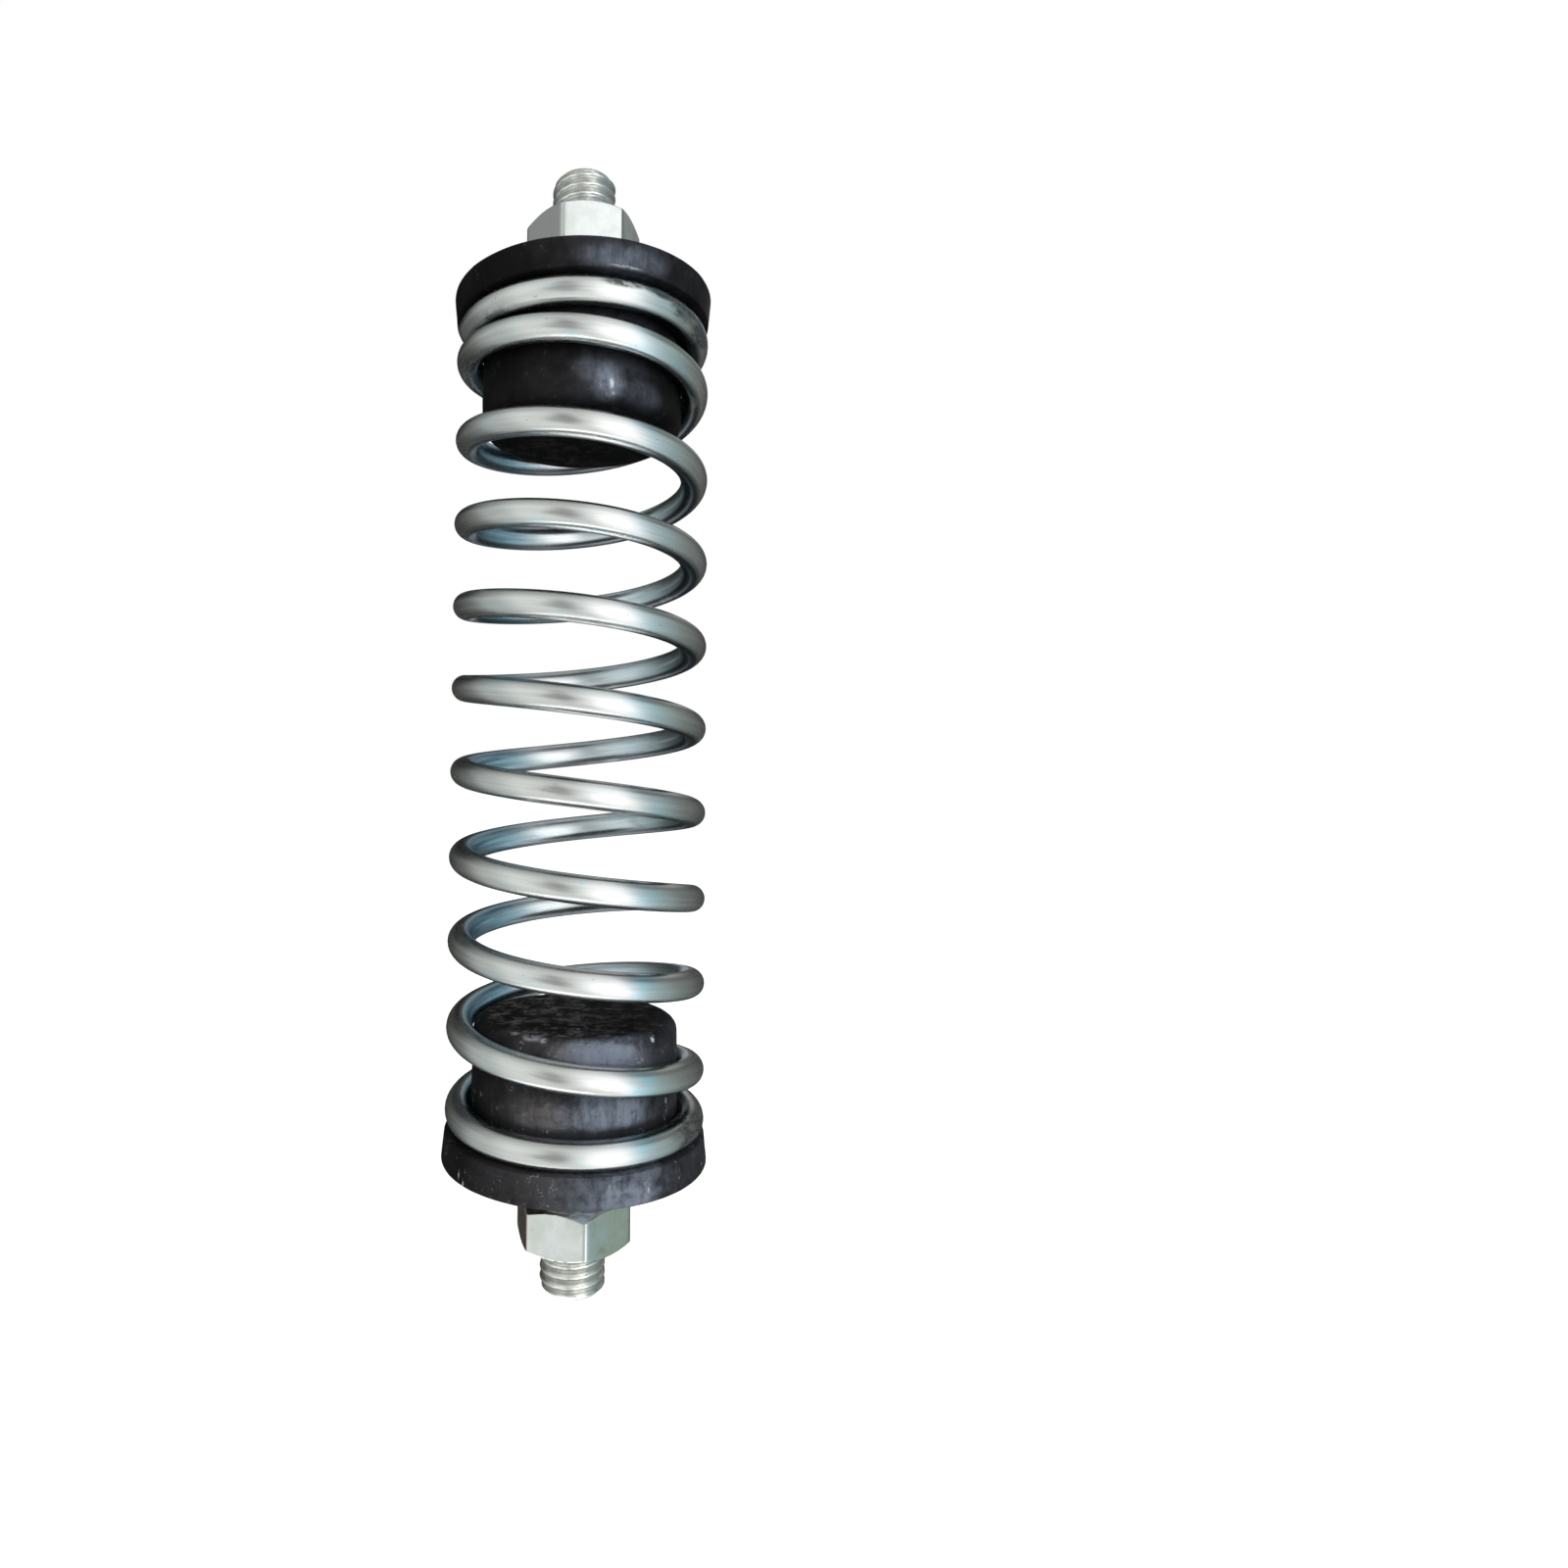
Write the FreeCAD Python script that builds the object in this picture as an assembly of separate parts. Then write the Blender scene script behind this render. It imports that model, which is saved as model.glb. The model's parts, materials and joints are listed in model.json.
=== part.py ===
import FreeCAD, Part
import math
import os

# Spring vibration isolator. Millimetres, +Z up the axis, origin at the centre of the lower
# seat's outer face, camera side of the photograph towards -Y.

# Overall
face_to_face = 157.5        # between the outer faces of the two rubber seats

# Rubber seats
flange_dia = 48.2           # at the outer face
flange_taper = 0.5          # how much smaller the radius is on the spring side
flange_thick = 5.0
flange_edge = 0.3           # rounding of the outer face's rim
flange_lip = 0.25           # rounding of the spring side's rim
seat_height = 25.0          # flange and plug together
plug_taper = 0.25           # how much smaller the plug's radius is at its end
plug_end_round = 2.2
lip_dia = 15.5              # shallow moulded recess round the stud
lip_depth = 0.5

# Coil spring, wound left-handed
wire_dia = 4.9
coil_mean_dia = 42.2
coil_pitch = 15.35
front_crossing = 19.75      # height of the open coil's crossing of the front, over the lower seat
front_turn = 10.0           # the number of that crossing, counted down from the top
top_end_turn = 0.79         # where the wire starts, just behind the left side
bottom_end_turn = 11.45     # where the wire stops, at the back
top_ramp = 1.445            # turns over which the top end coil opens up to the pitch
bottom_ramp = 0.5
points_per_turn = 20

# Studs and nuts
stud_dia = 12.0
stud_reach = 24.0           # beyond the seat's outer face
stud_chamfer = 1.1
stud_dish_dia = 6.4
stud_dish_depth = 0.6
across_flats = 19.0         # of the nuts and of the heads moulded into the rubber
head_thick = 7.5
stud_cover = 6.0            # rubber between the moulded-in head and the plug's end
nut_height = 8.3
nut_bore_chamfer = 0.7
lower_nut_gap = 7.1         # from the seat's outer face to the nut
upper_nut_gap = 7.0
lower_nut_turn = -18.0      # degrees from square to the camera side
upper_nut_turn = 9.2
hex_chamfer_deg = 30.0

# Clearances
plug_clear = 0.3            # plug to the inside of the coil, radial
coil_clear = 0.05           # end coil to the flange, and closed coil to its neighbour
thread_clear = 0.05         # nut to stud, radial
bond_clear = 0.02           # rubber to the moulded-in stud

# Sizes that follow
stud_r = stud_dia / 2
wire_r = wire_dia / 2
coil_r = coil_mean_dia / 2
plug_r = coil_r - wire_r - plug_clear
end_height = flange_thick + coil_clear + wire_r
hex_land_r = across_flats / 2 * 0.96
head_top = seat_height - stud_cover

up = FreeCAD.Vector(0, 0, 1)
centre = FreeCAD.Vector(0, 0, 0)


def at(x, z):
    return FreeCAD.Vector(x, 0, z)


def revolved(edges):
    """The solid that a closed outline in the XZ plane makes about the Z axis."""
    return Part.Face(Part.Wire(edges)).revolve(centre, up, 360)


def line(a, b):
    return Part.LineSegment(a, b).toShape()


def outline(points):
    """Straight edges round a list of points, back to the first."""
    return [line(a, b) for a, b in zip(points, points[1:] + points[:1])]


def hexagon(flats, low, high):
    """A hexagonal prism with one flat square to -Y."""
    corner = flats / 2 / math.cos(math.radians(30))
    angles = [math.radians(60 * k) for k in range(7)]
    ring = [FreeCAD.Vector(corner * math.cos(a), corner * math.sin(a), low) for a in angles]
    return Part.Face(Part.makePolygon(ring)).extrude(up * (high - low))


def chamfered_hexagon(flats, low, high, both_ends):
    """A hexagonal prism whose corners are cut by cones, as on a nut or a bolt head."""
    slope = math.tan(math.radians(hex_chamfer_deg))
    corner = flats / 2 / math.cos(math.radians(30)) + 1
    land = hex_land_r * flats / across_flats
    drop = (corner - land) * slope
    bottom = [at(0, low), at(land, low), at(corner, low + drop)]
    if not both_ends:
        bottom = [at(0, low), at(corner, low)]
    top = [at(corner, high - drop), at(land, high), at(0, high)]
    return hexagon(flats, low, high).common(revolved(outline(bottom + top)))


def coil_height(turn):
    """Height of the wire's centre, as turns count down from the top end coil."""
    top = face_to_face - end_height
    open_height = front_crossing + coil_pitch * (front_turn - turn)
    lift_off = front_turn - (top - front_crossing) / coil_pitch
    into = turn - (lift_off - top_ramp / 2)
    if into < 0:
        return top
    if into < top_ramp:
        return top - coil_pitch * into**2 / (2 * top_ramp)
    touch_down = front_turn + (front_crossing - end_height) / coil_pitch
    left = touch_down + bottom_ramp / 2 - turn
    if left < 0:
        return end_height
    if left < bottom_ramp:
        return end_height + coil_pitch * left**2 / (2 * bottom_ramp)
    return open_height


def coil_point(turn):
    """The wire's centre line: a whole turn number is at the front, and it falls to the right."""
    angle = 2 * math.pi * turn - math.pi / 2
    return FreeCAD.Vector(coil_r * math.cos(angle), coil_r * math.sin(angle), coil_height(turn))


def coil_spring():
    count = round((bottom_end_turn - top_end_turn) * points_per_turn)
    step = (bottom_end_turn - top_end_turn) / count
    path = Part.BSplineCurve()
    path.interpolate([coil_point(top_end_turn + step * n) for n in range(count + 1)])
    start = path.value(path.FirstParameter)
    along = path.tangent(path.FirstParameter)[0]
    section = Part.Wire(Part.Circle(start, along, wire_r).toShape())
    return Part.Wire(path.toShape()).makePipeShell([section], True, True)


def stud():
    """The threaded stud and the head moulded into the rubber. The thread is drawn by scene.py."""
    end = -stud_reach
    dish_r = stud_dish_dia / 2
    shank = revolved(outline([
        at(0, end + stud_dish_depth),
        at(dish_r, end),
        at(stud_r - stud_chamfer, end),
        at(stud_r, end + stud_chamfer),
        at(stud_r, head_top - head_thick),
        at(0, head_top - head_thick),
    ]))
    head = chamfered_hexagon(across_flats, head_top - head_thick, head_top, False)
    return shank.fuse(head).removeSplitter()


def rubber_seat():
    """The flange and plug, with the hollow that the stud and its head fill."""
    rim = flange_dia / 2
    lip_rim = rim - flange_taper
    root = at(plug_r, flange_thick)
    shoulder = at(plug_r - plug_taper, seat_height - plug_end_round)
    crown = at(plug_r - plug_taper - plug_end_round, seat_height)
    corner = math.sqrt(0.5)
    mid_end = at(crown.x + plug_end_round * corner, shoulder.z + plug_end_round * corner)
    face_edge = at(rim - flange_edge, 0)
    rim_low = at(rim, flange_edge)
    rim_high = at(lip_rim, flange_thick - flange_lip)
    lip_edge = at(lip_rim - flange_lip, flange_thick)
    mid_face = at(face_edge.x + flange_edge * corner, flange_edge * (1 - corner))
    mid_lip = at(lip_edge.x + flange_lip * corner, rim_high.z + flange_lip * corner)
    bore = stud_r + bond_clear
    body = revolved([
        line(at(bore, lip_depth), at(lip_dia / 2 - lip_depth, lip_depth)),
        line(at(lip_dia / 2 - lip_depth, lip_depth), at(lip_dia / 2, 0)),
        line(at(lip_dia / 2, 0), face_edge),
        Part.Arc(face_edge, mid_face, rim_low).toShape(),
        line(rim_low, rim_high),
        Part.Arc(rim_high, mid_lip, lip_edge).toShape(),
        line(lip_edge, root),
        line(root, shoulder),
        Part.Arc(shoulder, mid_end, crown).toShape(),
        line(crown, at(0, seat_height)),
        line(at(0, seat_height), at(0, head_top)),
        line(at(0, head_top), at(bore, head_top)),
        line(at(bore, head_top), at(bore, lip_depth)),
    ])
    flats = across_flats + 2 * bond_clear
    pocket = hexagon(flats, head_top - head_thick - bond_clear, head_top + bond_clear)
    return body.cut(pocket).removeSplitter()


def hex_nut(gap, turn):
    """A nut at a distance from the seat's outer face, turned about its stud."""
    bore = stud_r + thread_clear
    mouth = bore + nut_bore_chamfer
    low, high = -gap - nut_height, -gap
    nut = chamfered_hexagon(across_flats, low, high, True)
    hole = revolved(outline([
        at(0, low - 1),
        at(mouth + 1, low - 1),
        at(bore, low + nut_bore_chamfer),
        at(bore, high - nut_bore_chamfer),
        at(mouth + 1, high + 1),
        at(0, high + 1),
    ]))
    nut = nut.cut(hole)
    nut.rotate(centre, up, turn)
    return nut


def at_upper_end(shape):
    """Turns a piece of the lower end over, to face up at the upper seat."""
    turned = shape.copy()
    turned.rotate(centre, FreeCAD.Vector(1, 0, 0), 180)
    turned.translate(up * face_to_face)
    return turned


parts = {
    "coil_spring": coil_spring(),
    "lower_rubber_seat": rubber_seat(),
    "lower_stud": stud(),
    "lower_hex_nut": hex_nut(lower_nut_gap, lower_nut_turn),
    "upper_rubber_seat": at_upper_end(rubber_seat()),
    "upper_stud": at_upper_end(stud()),
    "upper_hex_nut": at_upper_end(hex_nut(upper_nut_gap, -upper_nut_turn)),
}

os.makedirs("parts", exist_ok=True)
for name, shape in parts.items():
    solid = shape if shape.ShapeType == "Solid" else shape.Solids[0]
    print(name, solid.isValid(), len(shape.Solids), round(solid.Volume), solid.BoundBox)
    solid.exportStep(f"parts/{name}.step")
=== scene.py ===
import json
import math

import bmesh
import bpy
from mathutils import Matrix, Vector, noise
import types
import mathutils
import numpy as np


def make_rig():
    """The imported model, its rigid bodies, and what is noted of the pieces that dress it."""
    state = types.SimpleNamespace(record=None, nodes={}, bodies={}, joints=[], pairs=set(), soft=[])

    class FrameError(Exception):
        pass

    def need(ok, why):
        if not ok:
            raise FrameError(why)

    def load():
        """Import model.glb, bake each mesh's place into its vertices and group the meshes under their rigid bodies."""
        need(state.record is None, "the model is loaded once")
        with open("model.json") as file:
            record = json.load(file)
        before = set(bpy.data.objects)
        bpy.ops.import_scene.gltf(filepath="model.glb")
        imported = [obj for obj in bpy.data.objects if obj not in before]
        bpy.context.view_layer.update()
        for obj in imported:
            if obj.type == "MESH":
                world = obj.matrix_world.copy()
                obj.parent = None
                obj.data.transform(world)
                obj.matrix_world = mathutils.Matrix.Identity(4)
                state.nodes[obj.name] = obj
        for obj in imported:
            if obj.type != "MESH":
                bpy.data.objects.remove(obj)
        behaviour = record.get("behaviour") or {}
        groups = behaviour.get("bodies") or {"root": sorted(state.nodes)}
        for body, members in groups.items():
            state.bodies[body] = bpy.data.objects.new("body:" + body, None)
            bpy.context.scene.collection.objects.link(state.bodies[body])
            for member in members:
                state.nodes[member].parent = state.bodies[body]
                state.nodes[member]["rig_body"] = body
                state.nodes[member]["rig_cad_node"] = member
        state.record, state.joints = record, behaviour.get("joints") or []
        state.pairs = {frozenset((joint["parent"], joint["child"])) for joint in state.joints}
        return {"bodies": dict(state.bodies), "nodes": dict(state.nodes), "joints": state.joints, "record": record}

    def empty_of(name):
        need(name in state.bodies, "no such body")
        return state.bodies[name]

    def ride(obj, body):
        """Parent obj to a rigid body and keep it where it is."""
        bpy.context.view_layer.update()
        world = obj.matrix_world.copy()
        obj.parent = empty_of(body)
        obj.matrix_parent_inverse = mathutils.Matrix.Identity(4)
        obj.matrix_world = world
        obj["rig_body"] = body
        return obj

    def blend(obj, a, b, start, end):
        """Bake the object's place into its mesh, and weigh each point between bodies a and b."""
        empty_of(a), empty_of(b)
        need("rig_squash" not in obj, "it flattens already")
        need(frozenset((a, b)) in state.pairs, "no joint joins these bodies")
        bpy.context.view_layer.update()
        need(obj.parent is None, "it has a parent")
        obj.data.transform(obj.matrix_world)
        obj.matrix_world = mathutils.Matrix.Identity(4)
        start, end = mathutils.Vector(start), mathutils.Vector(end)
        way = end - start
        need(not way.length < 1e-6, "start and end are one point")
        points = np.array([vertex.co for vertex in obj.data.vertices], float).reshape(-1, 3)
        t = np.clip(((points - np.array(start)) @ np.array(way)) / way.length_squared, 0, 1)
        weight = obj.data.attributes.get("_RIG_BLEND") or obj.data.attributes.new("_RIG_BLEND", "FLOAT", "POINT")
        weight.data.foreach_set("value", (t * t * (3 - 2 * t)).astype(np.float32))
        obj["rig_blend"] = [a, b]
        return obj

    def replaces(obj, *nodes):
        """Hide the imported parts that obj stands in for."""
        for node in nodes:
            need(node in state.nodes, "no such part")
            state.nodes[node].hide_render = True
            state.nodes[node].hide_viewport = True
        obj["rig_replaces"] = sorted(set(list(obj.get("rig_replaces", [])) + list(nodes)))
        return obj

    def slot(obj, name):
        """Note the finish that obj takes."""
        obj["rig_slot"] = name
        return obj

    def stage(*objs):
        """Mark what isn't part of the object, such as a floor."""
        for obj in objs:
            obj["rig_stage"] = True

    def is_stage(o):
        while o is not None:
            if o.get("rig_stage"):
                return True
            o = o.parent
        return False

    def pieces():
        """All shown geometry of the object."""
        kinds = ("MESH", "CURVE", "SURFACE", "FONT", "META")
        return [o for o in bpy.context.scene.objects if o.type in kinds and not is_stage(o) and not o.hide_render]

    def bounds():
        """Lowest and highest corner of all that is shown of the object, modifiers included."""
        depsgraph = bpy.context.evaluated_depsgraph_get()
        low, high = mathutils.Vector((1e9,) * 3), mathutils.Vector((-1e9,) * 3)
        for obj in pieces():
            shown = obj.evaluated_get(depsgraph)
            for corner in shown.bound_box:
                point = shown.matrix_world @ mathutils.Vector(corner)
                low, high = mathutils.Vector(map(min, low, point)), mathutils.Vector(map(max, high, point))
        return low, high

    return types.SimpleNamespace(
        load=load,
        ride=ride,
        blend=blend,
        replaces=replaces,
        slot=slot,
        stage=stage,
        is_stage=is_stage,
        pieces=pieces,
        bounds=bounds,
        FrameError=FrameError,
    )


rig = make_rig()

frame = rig.load()
cad_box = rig.bounds()

# Spring vibration isolator, drawn in millimetres as its solids are. +Z is up the axis and the
# camera is towards -Y.
MM = 0.001
FACE_TO_FACE = 157.5        # between the outer faces of the two rubber seats

# Rubber seats
FLANGE_R = 24.1
FLANGE_TAPER = 0.5
FLANGE_THICK = 5.0
FLANGE_EDGE = 0.3           # rounding of the outer face's rim
FLANGE_LIP = 0.25           # rounding of the spring side's rim
SEAT_HEIGHT = 25.0
PLUG_TAPER = 0.3
PLUG_END_ROUND = 2.2
PLUG_ROOT_ROUND = 0.35
LIP_R = 7.75                # shallow moulded recess round the stud
LIP_DEPTH = 0.5
BOND_CLEAR = 0.02           # rubber to the moulded-in stud

# Coil spring, wound left-handed. Turns count down from the top, with a whole one at the front.
WIRE_R = 2.45
COIL_R = 21.1
PITCH = 15.35
FRONT_CROSSING = 19.75      # height of the open coil at the front, at turn FRONT_TURN
FRONT_TURN = 10.0
TOP_END_TURN = 0.79
BOTTOM_END_TURN = 11.45
TOP_RAMP = 1.445            # turns over which the end coils open up to the pitch
BOTTOM_RAMP = 0.5
COIL_CLEAR = 0.05           # end coil to the flange, and closed coil to its neighbour
WIRE_CLEAR = 0.04           # wire to the rubber that it presses in
END_HEIGHT = FLANGE_THICK + COIL_CLEAR + WIRE_R
PLUG_BULGE = 0.3            # how far the rubber stands out between the turns
PLUG_R = COIL_R - WIRE_R + PLUG_BULGE

# How far each turn stands off the even pitch at the front, and the turns over which that sets in.
UNEVEN = (0.0, 0.0, 0.85, 0.0, -0.25, -0.2, 0.05, 0.1, -0.15, 0.05, 0.0, 0.0, 0.0)
UNEVEN_FROM = 1.3
UNEVEN_OVER = 0.5

# The turns between those that stay with a rubber seat, and the coil's travel until they touch.
FIRST_FREE_TURN = 1.79
LAST_FREE_TURN = 10.45
SOLID_TRAVEL = 89.0

# Studs and nuts
STUD_R = 6.0
STUD_REACH = 24.0           # beyond the seat's outer face
STUD_CHAMFER = 1.1
SHANK_R = 5.45              # of the stud inside the rubber
THREAD_PITCH = 1.75
THREAD_DEPTH = 0.72
THREAD_INSET = 0.05         # from the plain bar of the solid to the thread's crests
FLATS = 19.0
HEAD_THICK = 7.5
STUD_COVER = 6.0            # rubber between the moulded-in head and the plug's end
HEAD_TOP = SEAT_HEIGHT - STUD_COVER
NUT_HEIGHT = 8.3
NUT_LAND_R = FLATS / 2 * 0.96
LOWER_NUT_GAP = 7.1
UPPER_NUT_GAP = 7.0
LOWER_NUT_TURN = -18.0
UPPER_NUT_TURN = 9.2


def rgb(r, g, b):
    return (r, g, b, 1.0)


class Nodes:
    """A node tree, of a material or the world."""

    def __init__(self, owner):
        owner.use_nodes = True
        self.tree = owner.node_tree

    def set(self, node, inputs):
        """Sets a node's inputs, each to a value or another node's output."""
        for key, value in inputs.items():
            if isinstance(value, bpy.types.NodeSocket):
                self.tree.links.new(value, node.inputs[key])
            else:
                node.inputs[key].default_value = value

    def add(self, kind, inputs=None, output=0, **settings):
        """Adds a node and returns one of its outputs."""
        made = self.tree.nodes.new("ShaderNode" + kind)
        for key, value in settings.items():
            setattr(made, key, value)
        self.set(made, inputs or {})
        return made.outputs[output]

    def place(self):
        return self.add("TexCoord", output="Object")

    def scaled(self, where, size):
        return self.add("Mapping", {"Vector": where, "Scale": size})

    def split(self, where):
        return self.add("SeparateXYZ", {"Vector": where}).node.outputs

    def length(self, vector):
        return self.add("VectorMath", {0: vector}, "Value", operation="LENGTH")

    def math(self, operation, a, b, clamp=False):
        return self.add("Math", {0: a, 1: b}, operation=operation, use_clamp=clamp)

    def product(self, first, *others):
        for other in others:
            first = self.math("MULTIPLY", first, other)
        return first

    def spread(self, value, low, high, to_low=0.0, to_high=1.0):
        """value from low to high, taken smoothly to to_low to to_high."""
        return self.add(
            "MapRange",
            {
                "Value": value,
                "From Min": low,
                "From Max": high,
                "To Min": to_low,
                "To Max": to_high,
            },
            interpolation_type="SMOOTHSTEP",
        )

    def noise(self, where, scale, detail, rough, warp=0.0):
        inputs = {"Scale": scale, "Detail": detail, "Roughness": rough, "Distortion": warp}
        return self.add("TexNoise", {"Vector": where, **inputs})

    def mix(self, share, a, b, how="MIX"):
        inputs = {"Factor": share, 6: a, 7: b}
        return self.add("Mix", inputs, output=2, data_type="RGBA", blend_type=how)

    def near(self, where, x, y, z, wide, tall):
        """1 about a place in mm, and 0 from a little beyond its half width and half height."""
        gone, whole = 1.25, 0.35
        middle = (x * MM, y * MM, z * MM)
        size = (1 / (wide * MM), 1 / (wide * MM), 1 / (tall * MM))
        off = self.add("VectorMath", {0: where, 1: middle}, operation="SUBTRACT")
        off = self.add("VectorMath", {0: off, 1: size}, operation="MULTIPLY")
        return self.spread(self.length(off), gone, whole)

    def marks(self, where, rows, texture, low, high, least, most):
        """How strongly each row's mark shows, broken up by a texture's values from low to high."""
        for x, y, z, wide, tall, share in rows:
            broken = self.spread(texture, low, high, least * share, most * share)
            yield self.product(self.near(where, x, y, z, wide, tall), broken)

    def bump(self, height, strength, distance, under=None):
        inputs = {"Height": height, "Strength": strength, "Distance": distance}
        if under is not None:
            inputs["Normal"] = under
        return self.add("Bump", inputs)


class Shader(Nodes):
    """A material's node tree, with its Principled shader."""

    def __init__(self, name, **constants):
        self.material = bpy.data.materials.new(name)
        super().__init__(self.material)
        self.skin = self.tree.nodes["Principled BSDF"]
        self.drive(**constants)

    def drive(self, **inputs):
        self.set(self.skin, {key.replace("_", " "): value for key, value in inputs.items()})


# Thin colours on the coil's outside, partly the zinc's own and partly painted reflection, by place
# along X in mm: where each starts, is full, starts to fade and ends, its share and its colour.
WIRE_TINTS_AND_REFLECTIONS = (
    (5.0, 7.0, 8.5, 11.0, 0.4, (0.8, 0.68, 0.75)),
    (7.5, 10.5, 12.0, 15.5, 0.62, (0.46, 0.74, 0.83)),
    (12.0, 15.0, 17.5, 19.5, 0.5, (0.66, 0.69, 0.55)),
)

# Dark smears on the wire near the flanges and the lower plug, partly smears and partly painted
# shade, as marks: place, half width and half height in mm, and share.
WIRE_SMEARS_AND_SHADE = (
    (6.8, -22.5, 150.4, 4.0, 0.9, 1.2),
    (13.2, -19.4, 150.4, 3.6, 1.1, 1.5),
    (17.6, -15.6, 149.2, 3.6, 1.6, 1.5),
    (21.2, -9.4, 148.2, 4.5, 2.0, 1.4),
    (-17.5, -15.0, 147.4, 9.0, 1.4, 0.6),
    (-21.5, -8.5, 142.0, 7.0, 3.0, 0.5),
    (-17.0, 12.0, 145.0, 9.0, 5.0, 1.0),
    (20.0, -11.5, 6.5, 7.0, 1.6, 0.8),
    (17.0, -9.0, 8.6, 7.0, 2.4, 1.0),
)

# Painted sheen and light, where the rubber is paler, and nicks in it, as marks like these.
UPPER_PAINTED_SHEEN = (
    (6.6, -23.0, 154.4, 8.5, 2.2, 0.52),
    (4.6, -18.3, 135.7, 3.2, 3.6, 0.85),
    (1.2, -18.8, 137.5, 3.0, 2.2, 0.3),
    (11.0, -15.3, 134.5, 4.5, 2.6, 0.2),
)
UPPER_NICKS = (
    (5.4, -18.1, 138.0, 0.22, 0.9, 0.45),
    (5.1, -18.2, 135.4, 0.55, 1.1, 1.1),
    (5.4, -18.1, 133.6, 0.6, 0.6, 1.0),
    (3.6, -18.5, 135.0, 0.8, 0.25, 0.35),
    (7.7, -17.3, 130.6, 1.2, 0.2, 0.5),
    (10.7, -15.6, 130.8, 0.9, 0.2, 0.4),
    (7.2, -22.8, 153.0, 3.0, 0.25, 0.5),
)
LOWER_PAINTED_SHEEN = (
    (3.0, -18.7, 22.9, 7.5, 2.0, 1.0),
    (6.0, -18.0, 12.6, 6.5, 4.0, 0.9),
    (8.5, -22.4, 1.4, 6.5, 2.2, 0.5),
    (-10.0, -12.5, 25.0, 4.0, 1.0, 0.2),
    (-6.0, -18.0, 12.5, 7.0, 3.5, 0.75),
    (-14.0, -12.5, 13.0, 5.0, 4.5, 0.16),
    (2.0, -10.0, 0.0, 9.0, 0.7, 1.0),
)
LOWER_NICKS = (
    (-7.4, -15.9, 25.0, 1.9, 0.7, 0.55),
    (-5.2, -16.9, 24.9, 0.8, 0.7, 0.6),
    (-10.4, -13.6, 25.0, 1.1, 0.3, 0.5),
    (0.6, -10.4, 25.0, 0.35, 0.4, 0.8),
    (8.1, -12.0, 25.0, 0.3, 0.4, 0.7),
    (13.2, -12.6, 23.9, 0.5, 0.5, 0.9),
    (16.0, -10.1, 12.9, 0.5, 0.6, 0.6),
    (12.2, -20.6, 2.1, 0.3, 0.6, 0.55),
    (-19.3, -14.2, 1.6, 0.25, 1.0, 0.9),
    (-18.4, -15.4, 0.5, 0.3, 0.5, 0.8),
)


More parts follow.
